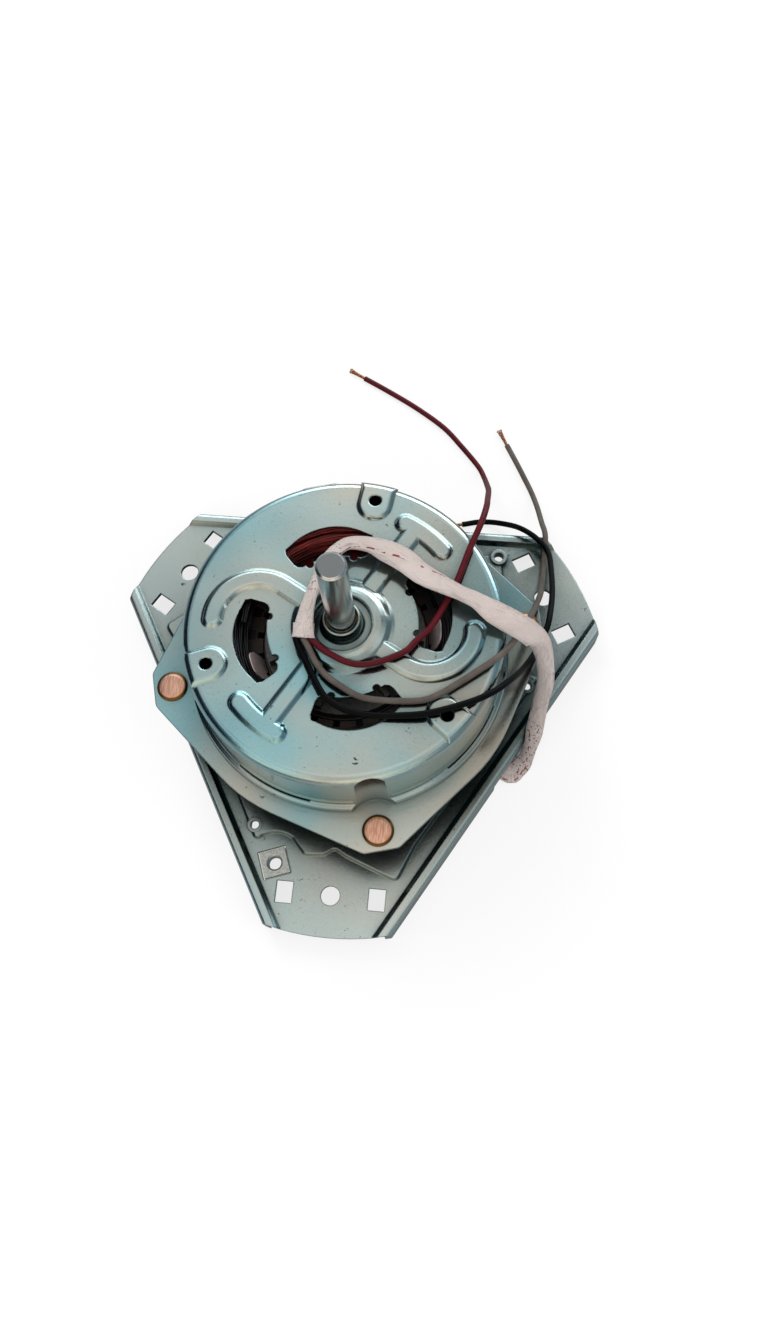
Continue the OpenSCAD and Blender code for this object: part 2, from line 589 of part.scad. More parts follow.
// Spring retainer: a flange under the shell, a cup round the felt and a lip that follows the bush
retainer_t = 0.6;
retainer_flange_w = 4;
retainer_r = felt_r + 1;
retainer_low = felt_low + 1.1;
retainer_top = shell_t + seat_gap;
lip_drop = 4.3;
lip_low = bush_depth + lip_drop;
lip_r = sqrt(pow(bush_r + rest_gap, 2) - lip_drop * lip_drop);
lip_top_r = cup_r + 0.85;
module retainer() color(bright_steel) rotate_extrude() polygon([[lip_r, -lip_low], [lip_top_r, -retainer_low],
    [retainer_r, -retainer_low], [retainer_r, -retainer_top], [retainer_r + retainer_flange_w, -retainer_top],
    [retainer_r + retainer_flange_w, -retainer_top - retainer_t], [retainer_r + retainer_t, -retainer_top - retainer_t],
    [retainer_r + retainer_t, -retainer_low - retainer_t], [lip_top_r + retainer_t / 2, -retainer_low - retainer_t],
    [lip_r + retainer_t, -lip_low - retainer_t / 3]]);
module at_top() translate([0, 0, upper_face_z]) children();
module at_bottom() translate([0, 0, lower_face_z]) mirror([0, 0, 1]) children();
module upper_bush() at_top() bush();
module lower_bush() at_bottom() bush();
module upper_felt() at_top() felt_ring();
module lower_felt() at_bottom() felt_ring();
module upper_retainer() at_top() retainer();
module lower_retainer() at_bottom() retainer();

// Rotor
module shaft() color(bright_steel) rotate_extrude() polygon([[0, shaft_low_z], [shaft_d / 2 - 0.5, shaft_low_z],
    [shaft_d / 2, shaft_low_z + 0.5], [shaft_d / 2, shoulder_low_z], [shaft_mid_d / 2, shoulder_low_z],
    [shaft_mid_d / 2, shoulder_top_z], [shaft_d / 2, shoulder_top_z], [shaft_d / 2, nose_top_z - groove_w],
    [shaft_d / 2 - groove_t, nose_top_z - groove_w], [shaft_d / 2 - groove_t, nose_top_z + 0.1],
    [shaft_d / 2, nose_top_z + 0.1], [shaft_d / 2, shaft_top_z - 0.8],
    [shaft_d / 2 - 0.8, shaft_top_z], [0, shaft_top_z]]);
bar_circle_r = rotor_d / 2 - bar_d / 2 - 0.8;
module rotor_core() color(dark_steel) translate([0, 0, core_z]) difference() {
    cylinder(d = rotor_d, h = core_h);
    translate([0, 0, -cut]) {
        cylinder(r = shaft_mid_d / 2 + press_gap, h = core_h + 2 * cut);
        for (i = [0:bar_count - 1]) rotate([0, 0, 360 * i / bar_count]) translate([bar_circle_r, 0, 0])
            cylinder(r = bar_d / 2 + press_gap, h = core_h + 2 * cut);
    }
}
module rotor_bars() color(cast_aluminium) for (i = [0:bar_count - 1]) rotate([0, 0, 360 * i / bar_count])
    translate([bar_circle_r, 0, core_z]) cylinder(d = bar_d, h = core_h);
ring_h = 4;
ring_in_r = 20.5;
module end_ring() color(cast_aluminium) {
    rotate_extrude() polygon([[ring_in_r, 0], [rotor_d / 2 - 0.6, 0], [rotor_d / 2 - 0.9, ring_h],
        [ring_in_r + 0.5, ring_h]]);
    for (i = [0:blade_count - 1]) rotate([0, 0, 360 * i / blade_count]) translate([ring_in_r + 1, -0.9, ring_h - 0.5])
        cube([rotor_d / 2 - ring_in_r - 2.4, 1.8, blade_h + 0.5]);
}
module upper_end_ring() translate([0, 0, core_z + core_h]) end_ring();
module lower_end_ring() translate([0, 0, core_z]) mirror([0, 0, 1]) end_ring();
thrust_d = shaft_mid_d + 3;
module thrust_washer() color(bronze) difference() {
    cylinder(d = thrust_d, h = washer_t);
    translate([0, 0, -cut]) cylinder(r = shaft_d / 2 + run_gap, h = washer_t + 2 * cut);
}
module upper_thrust_washer() translate([0, 0, shoulder_top_z]) thrust_washer();
module lower_thrust_washer() translate([0, 0, shoulder_low_z - washer_t]) thrust_washer();

// Routes of the sleeve and the leads
up = [0, 0, 1];
sleeve_route = [[32.5, -1.5, 8], [32.5, -1.5, 4], [34.5, -3, 0], [39, -7, -4], [46, -13.5, -5.5],
    [55, -22, -5.5], [64, -30, -5.5], [68.5, -29.5, -5.5], [72, -26.5, -3.5], [73, -21.5, 2.5], [72.5, -17, 9],
    [73, -12.5, 15], [73.5, -8, 22], [74, -3.5, 31], [72.5, 1, 40], [70, 3.5, 48], [67.5, 3.5, 55],
    [64, 3.5, 61], [59, 4, 66], [52, 6.5, 68.5], [46, 10, 69], [40, 12.5, 69], [34, 15, 69], [26.5, 18.5, 69],
    [19.5, 23.5, 69], [13, 26.5, 69], [7, 28.5, 69], [0, 28.5, 69], [-4, 25.5, 69.5], [-7, 21, 70],
    [-9.5, 14, 70], [-11.5, 5.5, 70], [-12.5, -2, 69], [-12.5, -7.5, 67]];
sleeve_hints = [for (i = [0:last(sleeve_route)]) i < 2 ? [1, 0, 0] : i < 8 ? up : [0.1, -0.5, 0.8]];
red_route = [[-9.9, -7.7, 67.2], [-7.5, -9.7, 67], [-3.5, -12.2, 66.9], [3.5, -15, 66.3], [9.5, -15.2, 66],
    [16, -13, 65.8], [23, -9, 65.6], [26, -5, 65], [31, 1, 65], [36, 12, 65], [39, 20, 65], [42, 31, 65],
    [45.5, 42, 65], [47, 50, 62], [47.5, 60, 50], [48, 75, 30], [47.5, 89, 10], [46.5, 100, -4],
    [43.5, 107, -6.5], [35.5, 116.5, -6.5], [27, 125.5, -6.5], [14.5, 134.5, -6.5], [1, 142.5, -6.5],
    [-11, 149, -6.5]];
grey_route = [[-12.4, -7.8, 67.2], [-10.5, -10.5, 66.8], [-7.5, -15.5, 66], [-3.5, -20, 66], [2, -23.5, 66],
    [9, -26.5, 65], [17.5, -27, 64.5], [29.5, -26, 64.5], [36, -23, 64.5], [41.5, -19, 64.5], [48, -14, 65],
    [54.5, -8.5, 65], [59, -2, 61], [61.5, 5, 54], [65, 13, 46], [68.5, 24, 36], [70.5, 31.5, 30], [72, 42, 17],
    [73, 50.5, 7], [73.5, 64, 5.2], [73.2, 70.5, 5], [72, 78, 0], [69, 92, -6.5], [62.5, 105.5, -6.5],
    [55.5, 118.5, -6.5]];
black_route = [[-15, -7.8, 67.2], [-13.7, -11, 66.6], [-10.5, -16, 66], [-7, -22, 66], [-2.5, -28, 66],
    [4.5, -31.5, 65], [13, -32.5, 64.5], [23, -32, 65], [33, -30.5, 66], [46, -25.5, 65.5], [54, -20.5, 64],
    [60.5, -12.5, 56.5], [65, -3.5, 43], [69, 5, 35.5], [71.5, 11.5, 33], [73.5, 17, 32.5], [74.5, 23.5, 31],
    [75.5, 34.5, 25], [75.5, 48.5, 16], [74.5, 60, 9], [70, 66, 8], [64, 70.5, 7], [58, 76, 0], [48.5, 80, -6.5],
    [38.5, 78, -6.5]];
strand_l = 9;
function strand(route, l) = let (end = route[last(route)], d = unit(end - route[last(route) - 1])) [end, end + l * d];
module lead(route) tube(route, carried(route, up), lead_d / 2, lead_d / 2, 8);
module lead_sleeve() color([0.78, 0.72, 0.69]) tube(sleeve_route, sleeve_hints, sleeve_w / 2, sleeve_t / 2, 12);
module red_lead() color([0.40, 0.08, 0.10]) lead(red_route);
module grey_lead() color([0.44, 0.40, 0.37]) lead(grey_route);
module black_lead() color([0.06, 0.07, 0.07]) lead(black_route);
module bare_strands() color(copper) for (r = [red_route, grey_route, black_route])
    tube(strand(r, strand_l), [up, up], strand_d / 2, strand_d / 2, 8);

upper_shell();
lower_shell();
mounting_bracket();
shell_rivets();
bracket_screws();
bracket_washers();
square_nut();
stator_core();
slot_liners();
slot_conductors();
upper_winding();
lower_winding();
upper_bush();
lower_bush();
upper_felt();
lower_felt();
upper_retainer();
lower_retainer();
shaft();
rotor_core();
rotor_bars();
upper_end_ring();
lower_end_ring();
upper_thrust_washer();
lower_thrust_washer();
lead_sleeve();
red_lead();
grey_lead();
black_lead();
bare_strands();
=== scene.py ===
import math
import random
import bmesh
import bpy
from mathutils import Matrix, Vector


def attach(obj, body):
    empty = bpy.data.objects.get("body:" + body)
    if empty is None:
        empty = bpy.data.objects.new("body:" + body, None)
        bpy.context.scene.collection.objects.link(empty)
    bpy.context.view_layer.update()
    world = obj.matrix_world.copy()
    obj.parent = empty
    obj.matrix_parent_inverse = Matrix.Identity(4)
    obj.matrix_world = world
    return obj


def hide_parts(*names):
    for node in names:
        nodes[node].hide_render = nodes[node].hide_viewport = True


# Spin motor of a twin-tub washing machine: zinc-plated shells and bracket, woven lead sleeve, three leads
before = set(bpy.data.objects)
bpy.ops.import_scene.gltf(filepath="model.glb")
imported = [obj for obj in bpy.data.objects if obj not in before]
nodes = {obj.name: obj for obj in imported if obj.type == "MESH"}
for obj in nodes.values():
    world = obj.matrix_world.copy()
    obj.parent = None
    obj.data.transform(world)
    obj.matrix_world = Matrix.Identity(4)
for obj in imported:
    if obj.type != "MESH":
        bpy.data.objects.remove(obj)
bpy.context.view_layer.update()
scene = bpy.context.scene
scene.view_settings.view_transform = "Standard"
mm = 0.001
print("Frame loaded,", len(nodes), "nodes")

# Camera, fitted to the photograph
cameraSet = {
    "place": (0.04028, -0.13517, 0.40323),
    "right": (0.99479, 0.09469, -0.03761),
    "up": (-0.07683, 0.93958, 0.33360),
    "forward": (-0.06693, 0.32897, -0.94197),
    "lens": 49.47,
    "sensor": 36.0,
    "nearest": 0.01,
    "farthest": 20,
}
cameraData = bpy.data.cameras.new("photoCamera")
cameraData.sensor_fit = "HORIZONTAL"
cameraData.sensor_width = cameraSet["sensor"]
cameraData.lens = cameraSet["lens"]
cameraData.clip_start = cameraSet["nearest"]
cameraData.clip_end = cameraSet["farthest"]
camera = bpy.data.objects.new("photoCamera", cameraData)
scene.collection.objects.link(camera)
axes = Matrix((cameraSet["right"], cameraSet["up"], [-v for v in cameraSet["forward"]])).transposed()
camera.matrix_world = Matrix.Translation(cameraSet["place"]) @ axes.to_4x4()
scene.camera = camera


# Colours
def linear(value):
    # One channel of a screen colour, 0 to 1, as linear light
    return value / 12.92 if value <= 0.04045 else ((value + 0.055) / 1.055) ** 2.4


def rgb(red, green, blue):
    # Screen colour with channels from 0 to 255
    return (linear(red / 255), linear(green / 255), linear(blue / 255), 1.0)


def grey(value):
    return (value, value, value, 1.0)


def darker(colour, share):
    return (*[v * share for v in colour[:3]], 1.0)


# Objects and meshes
def addObject(name, mesh):
    piece = bpy.data.objects.new(name, mesh)
    scene.collection.objects.link(piece)
    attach(piece, "housing")
    return piece


def meshOfBmesh(name, bm):
    bmesh.ops.recalc_face_normals(bm, faces=bm.faces)
    mesh = bpy.data.meshes.new(name)
    bm.to_mesh(mesh)
    bm.free()
    return mesh


def smoothTube(name, lines, radius, roundness):
    # Round tubes along lines of points, as one plain smooth mesh at the origin
    data = bpy.data.curves.new(name, "CURVE")
    data.dimensions = "3D"
    data.bevel_depth = radius
    data.bevel_resolution = roundness
    data.use_fill_caps = True
    for line in lines:
        spline = data.splines.new("POLY")
        spline.points.add(len(line) - 1)
        for point, place in zip(spline.points, line):
            point.co = (*place, 1)
    holder = bpy.data.objects.new(name + "Curve", data)
    scene.collection.objects.link(holder)
    graph = bpy.context.evaluated_depsgraph_get()
    graph.update()
    mesh = bpy.data.meshes.new_from_object(holder.evaluated_get(graph))
    mesh.name = name
    bpy.data.objects.remove(holder)
    bpy.data.curves.remove(data)
    for face in mesh.polygons:
        face.use_smooth = True
    return mesh


# Routes of the cords
routeSet = {
    "perSpan": 5,      # points of the smooth line between two points of a route
    "lowest": -6.7,    # height in mm that keeps a cord above the surface that the part stands on
}
perSpan = routeSet["perSpan"]


def smoothLine(route):
    # Smooth line that passes through every point of a route given in mm
    line = []
    pts = [Vector(p) * mm for p in route]
    for i in range(len(pts) - 1):
        a, b, c, d = pts[max(i - 1, 0)], pts[i], pts[i + 1], pts[min(i + 2, len(pts) - 1)]
        for k in range(perSpan):
            t = k / perSpan
            line.append(0.5 * (2 * b + (c - a) * t + (2 * a - 5 * b + 4 * c - d) * t * t
                               + (3 * b - a - 3 * c + d) * t ** 3))
    line.append(pts[-1])
    for p in line:
        p.z = max(p.z, routeSet["lowest"] * mm)
    return line


def lineLength(line):
    return sum((line[i + 1] - line[i]).length for i in range(len(line) - 1))


def directionAt(line, i):
    return (line[min(i + 1, len(line) - 1)] - line[max(i - 1, 0)]).normalized()


def spread(values, count):
    # Values given at the points of a route, read at every point of its smooth line
    out = []
    for i in range(count):
        t = i / perSpan
        k = min(int(t), len(values) - 2)
        out.append(values[k] + (values[k + 1] - values[k]) * (t - k))
    return out


# Flat woven sleeve, in mm. Its route is that of part.scad, but for three points that lie up to 2 mm
# closer to the bracket's lip
sleeveSet = {
    "width": 8.0,
    "route": [(32.5, -1.5, 8), (32.5, -1.5, 4), (34.5, -3, 0), (39, -7, -4), (46, -13.5, -5.5),
              (55, -22, -5.5), (64, -30, -5.5), (67.2, -28.8, -5.5), (70.3, -25.5, -3.5), (71.8, -20.8, 2.5),
              (72.5, -17, 9), (73, -12.5, 15), (73.5, -8, 22), (74, -3.5, 31), (72.5, 1, 40),
              (70, 3.5, 48), (67.5, 3.5, 55), (64, 3.5, 61), (59, 4, 66), (52, 6.5, 68.5), (46, 10, 69),
              (40, 12.5, 69), (34, 15, 69), (26.5, 18.5, 69), (19.5, 23.5, 69), (13, 26.5, 69),
              (7, 28.5, 69), (0, 28.5, 69), (-4, 25.5, 69.5), (-7, 21, 70), (-9.5, 14, 70),
              (-11.5, 5.5, 70), (-12.5, -2, 69), (-12.5, -7.5, 67)],
    # Width that the photograph shows at each point of the route
    "looks": [8.4, 8.4, 8.4, 8.4, 8.4, 8.2, 7.6, 6.6, 5.2, 4.8, 6.0, 5.6, 5.4, 5.6, 5.9, 7.2, 8.8, 8.8, 8.8,
              8.0, 5.6, 5.0, 6.0, 7.4, 8.4, 7.6, 5.4, 4.4, 4.5, 4.6, 4.4, 4.6, 6.4, 8.4],
    "thick": [2.8, 2.8, 2.8, 2.8, 2.8, 2.8, 2.8, 2.8, 2.8, 2.8, 3.0, 2.8, 2.8, 3.0, 3.2, 2.4, 1.9, 2.6, 2.8,
              2.6, 2.8, 2.8, 2.8, 2.4, 2.4, 2.6, 2.8, 2.8, 2.8, 2.8, 2.8, 2.8, 3.2, 4.2],
    "tape": 8.8,       # widest that the tape lies
    "slack": 1.6,      # how much wider than it looks the tape may be
    "foldAt": 16,      # point of the route where the tape turns over to its other edge
    "upright": 1.6,    # up to this point of the route its flat side faces along x
    "level": 8,        # up to this one it faces up, and after it the way that leaning says
    "leaning": (0.1, -0.5, 0.8),
    "swells": [(0.05, 0.9, 0), (0.04, 0.37, 1)],   # share, pace and start of the waves in its thickness
    "sides": 32,
    "lens": 1.35,      # above 1 its edges are thin
    "wall": 0.45,
    "mouth": 5.0,      # depth of the open end
    "mapScale": 10,    # its map counts tenths of a metre along it
}


def flatSide(i):
    if i < sleeveSet["upright"] * perSpan:
        return Vector((1, 0, 0))
    if i < sleeveSet["level"] * perSpan:
        return Vector((0, 0, 1))
    return Vector(sleeveSet["leaning"])


def addRing(bm, centre, across, up, halfWidth, halfThick):
    # One loop across the tape, an oval thinned towards its edges
    loop = []
    for k in range(sleeveSet["sides"]):
        q = 2 * math.pi * (k + 0.5) / sleeveSet["sides"]
        rise = math.copysign(abs(math.sin(q)) ** sleeveSet["lens"], math.sin(q))
        loop.append(bm.verts.new(centre + across * halfWidth * math.cos(q) + up * halfThick * rise))
    return loop


def sweepSleeve(name, line, hints, halfSizes):
    # Flat tube along a line: each ring is turned to its hint, and the last ones turn back inside as a mouth
    wall = sleeveSet["wall"] * mm
    sides = sleeveSet["sides"]
    bm = bmesh.new()
    uvLayer = bm.loops.layers.uv.new("along")
    rings = []
    travelled = 0.0
    for i, (centre, hint, (a, b)) in enumerate(zip(line, hints, halfSizes)):
        tangent = directionAt(line, i)
        across = tangent.cross(hint).normalized()
        up = across.cross(tangent)
        if i:
            travelled += (centre - line[i - 1]).length
        rings.append((addRing(bm, centre, across, up, a, b), travelled))
    for back in (0.0, sleeveSet["mouth"] * mm):
        inner = addRing(bm, centre - tangent * back, across, up, a - wall, b - wall)
        rings.append((inner, travelled + wall + back))
    for (low, v0), (high, v1) in zip(rings, rings[1:]):
        for k in range(sides):
            n = (k + 1) % sides
            face = bm.faces.new((low[k], low[n], high[n], high[k]))
            face.smooth = True
            corners = ((k, v0), (k + 1, v0), (k + 1, v1), (k, v1))
            for corner, (step, v) in zip(face.loops, corners):
                corner[uvLayer].uv = (step / sides, v * sleeveSet["mapScale"])
    for loop in (rings[0][0], rings[-1][0]):
        bm.faces.new(loop)
    return meshOfBmesh(name, bm)


def addSleeve():
    line = smoothLine(sleeveSet["route"])
    looks = spread(sleeveSet["looks"], len(line))
    thicks = spread(sleeveSet["thick"], len(line))
    hints = []
    halfSizes = []
    for i, (look, thick) in enumerate(zip(looks, thicks)):
        # The tape keeps its width, and turns towards its edge where the photograph shows it narrow
        tape = min(sleeveSet["tape"], look + sleeveSet["slack"])
        share = min(max((look ** 2 - thick ** 2) / (tape ** 2 - thick ** 2), 0), 1)
        turn = math.acos(math.sqrt(share)) * (1 if i > sleeveSet["foldAt"] * perSpan else -1)
        if i <= sleeveSet["level"] * perSpan:
            turn = 0
        hints.append(Matrix.Rotation(turn, 3, directionAt(line, i)) @ flatSide(i))
        swell = 1 + sum(size * math.sin(i * pace + start) for size, pace, start in sleeveSet["swells"])
        halfSizes.append((tape * mm / 2, thick * mm / 2 * swell))
    piece = addObject("leadSleeve", sweepSleeve("leadSleeve", line, hints, halfSizes))
    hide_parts("lead_sleeve")
    print("Sleeve is", round(lineLength(line), 3), "m long")
    return piece


sleeve = addSleeve()

# The three leads that come out of the sleeve, in mm, with the routes of part.scad
leadSet = {
    "diameter": 2.3,
    "roundness": 4,
    "red": [(-9.9, -7.7, 67.2), (-7.5, -9.7, 67), (-3.5, -12.2, 66.9), (3.5, -15, 66.3), (9.5, -15.2, 66),
            (16, -13, 65.8), (23, -9, 65.6), (26, -5, 65), (31, 1, 65), (36, 12, 65), (39, 20, 65),
            (42, 31, 65), (45.5, 42, 65), (47, 50, 62), (47.5, 60, 50), (48, 75, 30), (47.5, 89, 10),
            (46.5, 100, -4), (43.5, 107, -6.5), (35.5, 116.5, -6.5), (27, 125.5, -6.5), (14.5, 134.5, -6.5),
            (1, 142.5, -6.5), (-11, 149, -6.5)],
    "grey": [(-12.4, -7.8, 67.2), (-10.5, -10.5, 66.8), (-7.5, -15.5, 66), (-3.5, -20, 66), (2, -23.5, 66),
             (9, -26.5, 65), (17.5, -27, 64.5), (29.5, -26, 64.5), (36, -23, 64.5), (41.5, -19, 64.5),
             (48, -14, 65), (54.5, -8.5, 65), (59, -2, 61), (61.5, 5, 54), (65, 13, 46), (68.5, 24, 36),
             (70.5, 31.5, 30), (72, 42, 17), (73, 50.5, 7), (73.5, 64, 5.2), (73.2, 70.5, 5), (72, 78, 0),
             (69, 92, -6.5), (62.5, 105.5, -6.5), (55.5, 118.5, -6.5)],
    "black": [(-15, -7.8, 67.2), (-13.7, -11, 66.6), (-10.5, -16, 66), (-7, -22, 66), (-2.5, -28, 66),
              (4.5, -31.5, 65), (13, -32.5, 64.5), (23, -32, 65), (33, -30.5, 66), (46, -25.5, 65.5),
              (54, -20.5, 64), (60.5, -12.5, 56.5), (65, -3.5, 43), (69, 5, 35.5), (71.5, 11.5, 33),
              (73.5, 17, 32.5), (74.5, 23.5, 31), (75.5, 34.5, 25), (75.5, 48.5, 16), (74.5, 60, 9),
              (70, 66, 8), (64, 70.5, 7), (58, 76, 0), (48.5, 80, -6.5), (38.5, 78, -6.5)],
}

# Bare twisted ends, in mm: fine strands that open a little at the tip
strandSet = {
    "length": 9.0,
    "uneven": 0.10,    # share of the length by which strands differ
    "inside": 0.6,     # hidden in the insulation
    "count": 7,
    "radius": 0.24,
    "roundness": 2,
    "spread": 0.5,     # from the middle strand, times waist at the insulation and more at the tip
    "waist": 0.9,
    "flare": 1.1,
    "turns": 0.9,
    "points": 15,
    "firstSeed": 3,
}


def addBareEnd(name, route, seed):
    rand = random.Random(seed)
    end = Vector(route[-1]) * mm
    ahead = (end - Vector(route[-2]) * mm).normalized()
    side = ahead.cross(Vector((0, 0, 1))).normalized()
    up = side.cross(ahead)
    lines = []
    for s in range(strandSet["count"]):
        phase = 2 * math.pi * s / (strandSet["count"] - 1)
        reach = strandSet["length"] * mm * (1 - strandSet["uneven"] * rand.random())
        line = []
        for k in range(strandSet["points"]):
            t = k / (strandSet["points"] - 1)
            angle = phase + 2 * math.pi * strandSet["turns"] * t
            away = strandSet["spread"] * (strandSet["waist"] + strandSet["flare"] * t ** 3) * mm
            if s == 0:
                away = 0    # the middle strand
            out = side * math.cos(angle) + up * math.sin(angle)
            line.append(end + ahead * (reach * t - strandSet["inside"] * mm) + out * away)
        lines.append(line)
    mesh = smoothTube(name, lines, strandSet["radius"] * mm, strandSet["roundness"])
    piece = addObject(name, mesh)
    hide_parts("bare_strands")
    return piece


def addLead(tint):
    line = smoothLine(leadSet[tint])
    tube = smoothTube(tint + "Lead", [line], leadSet["diameter"] * mm / 2, leadSet["roundness"])
    piece = addObject(tint + "Lead", tube)
    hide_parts(tint + "_lead")
    print(tint, "lead is", round(lineLength(line), 3), "m long")
    return piece


leads = {}
for seed, tint in enumerate(("red", "grey", "black"), strandSet["firstSeed"]):
    strands = addBareEnd(tint + "Strands", leadSet[tint], seed)
    leads[tint] = (addLead(tint), strands)
print("Cords made")


# Nodes of the materials
def material(name):
    made = bpy.data.materials.new(name)
    made.use_nodes = True
    return made, made.node_tree, made.node_tree.nodes["Principled BSDF"]


def feed(tree, value, socket):
    # Links another node's output, or sets a plain value
    if isinstance(value, bpy.types.NodeSocket):
        tree.links.new(value, socket)
    else:
        socket.default_value = value


def node(tree, kind, inputs=None, **settings):
    made = tree.nodes.new(kind)
    for key, value in settings.items():
        setattr(made, key, value)
    for key, value in (inputs or {}).items():
        feed(tree, value, made.inputs[key])
    return made


def setShader(tree, shader, inputs):
    for key, value in inputs.items():
        feed(tree, value, shader.inputs[key])


def blendColour(tree, factor, first, second, mode="MIX"):
    made = node(tree, "ShaderNodeMix", data_type="RGBA", blend_type=mode)
    # the Mix node has several sockets named A and B: the colour ones are at 6 and 7
    for place, value in ((0, factor), (6, first), (7, second)):
        feed(tree, value, made.inputs[place])
    return made.outputs[2]


def ramp(tree, source, stops, ease="LINEAR"):
    made = tree.nodes.new("ShaderNodeValToRGB")
    made.color_ramp.interpolation = ease
    while len(made.color_ramp.elements) < len(stops):
        made.color_ramp.elements.new(0.5)
    for element, (place, colour) in zip(made.color_ramp.elements, stops):
        element.position = place
        element.color = colour
    tree.links.new(source, made.inputs[0])
    return made.outputs[0]


def between(tree, source, fromRange, toRange=(0.0, 1.0), ease="LINEAR"):
    # Carries one range of values over to another, and stops at its ends
    inputs = {"Value": source, "From Min": fromRange[0], "From Max": fromRange[1],
              "To Min": toRange[0], "To Max": toRange[1]}
    return node(tree, "ShaderNodeMapRange", inputs, interpolation_type=ease).outputs[0]


def around(value, below, above):
    return (value - below, value + above)


def maths(tree, operation, *values):
    return node(tree, "ShaderNodeMath", dict(enumerate(values)), operation=operation).outputs[0]


def vectorMaths(tree, operation, *values):
    made = node(tree, "ShaderNodeVectorMath", dict(enumerate(values)), operation=operation)
    return made.outputs["Value" if operation in ("DISTANCE", "LENGTH", "DOT_PRODUCT") else "Vector"]


def objectPlace(tree):
    return node(tree, "ShaderNodeTexCoord").outputs["Object"]


def separate(tree, vector):
    return node(tree, "ShaderNodeSeparateXYZ", {0: vector}).outputs


def mapped(tree, vector, scale=(1, 1, 1), turn=(0, 0, 0)):
    return node(tree, "ShaderNodeMapping", {"Vector": vector, "Rotation": turn, "Scale": scale}).outputs[0]


def noise(tree, place, scale, detail, **more):
    values = {"Vector": place, "Scale": scale, "Detail": detail, **more}
    return node(tree, "ShaderNodeTexNoise", values).outputs["Fac"]


def bump(tree, height, depth, **more):
    return node(tree, "ShaderNodeBump", {"Height": height, "Distance": depth, **more}).outputs[0]


def roundedEdge(tree, radius):
    return node(tree, "ShaderNodeBevel", {"Radius": radius}, samples=4).outputs[0]


# Pressed sheet, used by every zinc-plated piece. Scales are per metre
sheetSet = {
    "grainShare": 0.012,
    "tone": 14.0,
    "stain": 260.0,
    "stainEdge": (0.66, 0.74),
    "scratchWarp": 60.0,
    "scratchScale": (1500, 22, 300),
    "scratchTurn": (0.3, 0.2, 0.7),
    "scratch": 0.35,
    "scratchEdge": (0.70, 0.74),
    "nick": (9.5 * mm, -48.3 * mm, 0),   # the dark nick in front of the shaft
    "nickRadius": 1.3 * mm,
    "nickGrain": 800.0,
    "nickCut": 0.53,
}


def sheetGroup():
    # Long waves and fine grain for the height, plus masks for tone, stains and scratches
    group = bpy.data.node_groups.new("pressedSheet", "ShaderNodeTree")
    for label in ("Wave", "Grain"):
        group.interface.new_socket(name=label, in_out="INPUT", socket_type="NodeSocketFloat")
    for label in ("Height", "Tone", "Stain", "Scratch"):
        group.interface.new_socket(name=label, in_out="OUTPUT", socket_type="NodeSocketFloat")
    enter = group.nodes.new("NodeGroupInput").outputs
    leave = group.nodes.new("NodeGroupOutput").inputs
    place = objectPlace(group)
    grain = maths(group, "MULTIPLY", noise(group, place, enter["Grain"], 3.0), sheetSet["grainShare"])
    height = maths(group, "ADD", noise(group, place, enter["Wave"], 1.0), grain)
    tone = noise(group, place, sheetSet["tone"], 2.0, Distortion=0.4)
    blots = noise(group, place, sheetSet["stain"], 4.0, Roughness=0.7)
    stain = between(group, blots, sheetSet["stainEdge"])
    warp = node(group, "ShaderNodeTexNoise",
                {"Vector": place, "Scale": sheetSet["scratchWarp"], "Detail": 2.0}).outputs["Color"]
    bent = vectorMaths(group, "ADD", place, warp)
    stretched = mapped(group, bent, sheetSet["scratchScale"], sheetSet["scratchTurn"])
    lines = between(group, noise(group, stretched, sheetSet["scratch"], 1.0), sheetSet["scratchEdge"])
    flat = vectorMaths(group, "MULTIPLY", place, (1, 1, 0))
    near = maths(group, "LESS_THAN", vectorMaths(group, "DISTANCE", flat, sheetSet["nick"]),
                 sheetSet["nickRadius"])
    torn = maths(group, "GREATER_THAN", noise(group, place, sheetSet["nickGrain"], 1.0), sheetSet["nickCut"])
    scratch = maths(group, "MAXIMUM", lines, maths(group, "MULTIPLY", near, torn))
    for label, socket in (("Height", height), ("Tone", tone), ("Stain", stain), ("Scratch", scratch)):
        group.links.new(socket, leave[label])
    return group


sheetNodes = sheetGroup()

# Zinc plate: its tone drifts from cool to warm. Painted shade: ambient occlusion darkens it towards a shade
# colour in gaps, hollows and under the shell. The last pair of each finish says how open a place is where the
# painted shade is full and where it ends
zincSet = {
    "stain": rgb(80, 84, 80),
    "paintedShade": rgb(34, 56, 56),
    "coolAt": 0.36,
    "warmAt": 0.63,
    "toneRange": (0.3, 0.7),
    "edge": 0.7 * mm,
    "zincShell": {"cool": rgb(160, 204, 212), "warm": rgb(214, 206, 194), "roughness": 0.12,
                  "wave": 22.0, "grain": 900.0, "depth": 1.3 * mm, "gap": 25 * mm,
                  "paintedShadeOpenness": (0.16, 0.92)},
    # Lower shell: its tones are painted darker as shade under the flange, and its range ending above 1 keeps
    # part of the painted shade even where it is open
    "zincLowerShell": {"cool": rgb(150, 176, 180), "warm": rgb(170, 174, 168), "roughness": 0.2,
                       "wave": 22.0, "grain": 900.0, "depth": 1.3 * mm, "gap": 70 * mm,
                       "paintedShadeOpenness": (0.2, 1.3)},
    # Bracket: its far reach paints the motor's shade onto the plate around the shell
    "zincBracket": {"cool": rgb(204, 222, 224), "warm": rgb(220, 224, 218), "roughness": 0.22,
                    "wave": 22.0, "grain": 900.0, "depth": 0.9 * mm, "gap": 80 * mm,
                    "paintedShadeOpenness": (0.44, 0.93)},
}


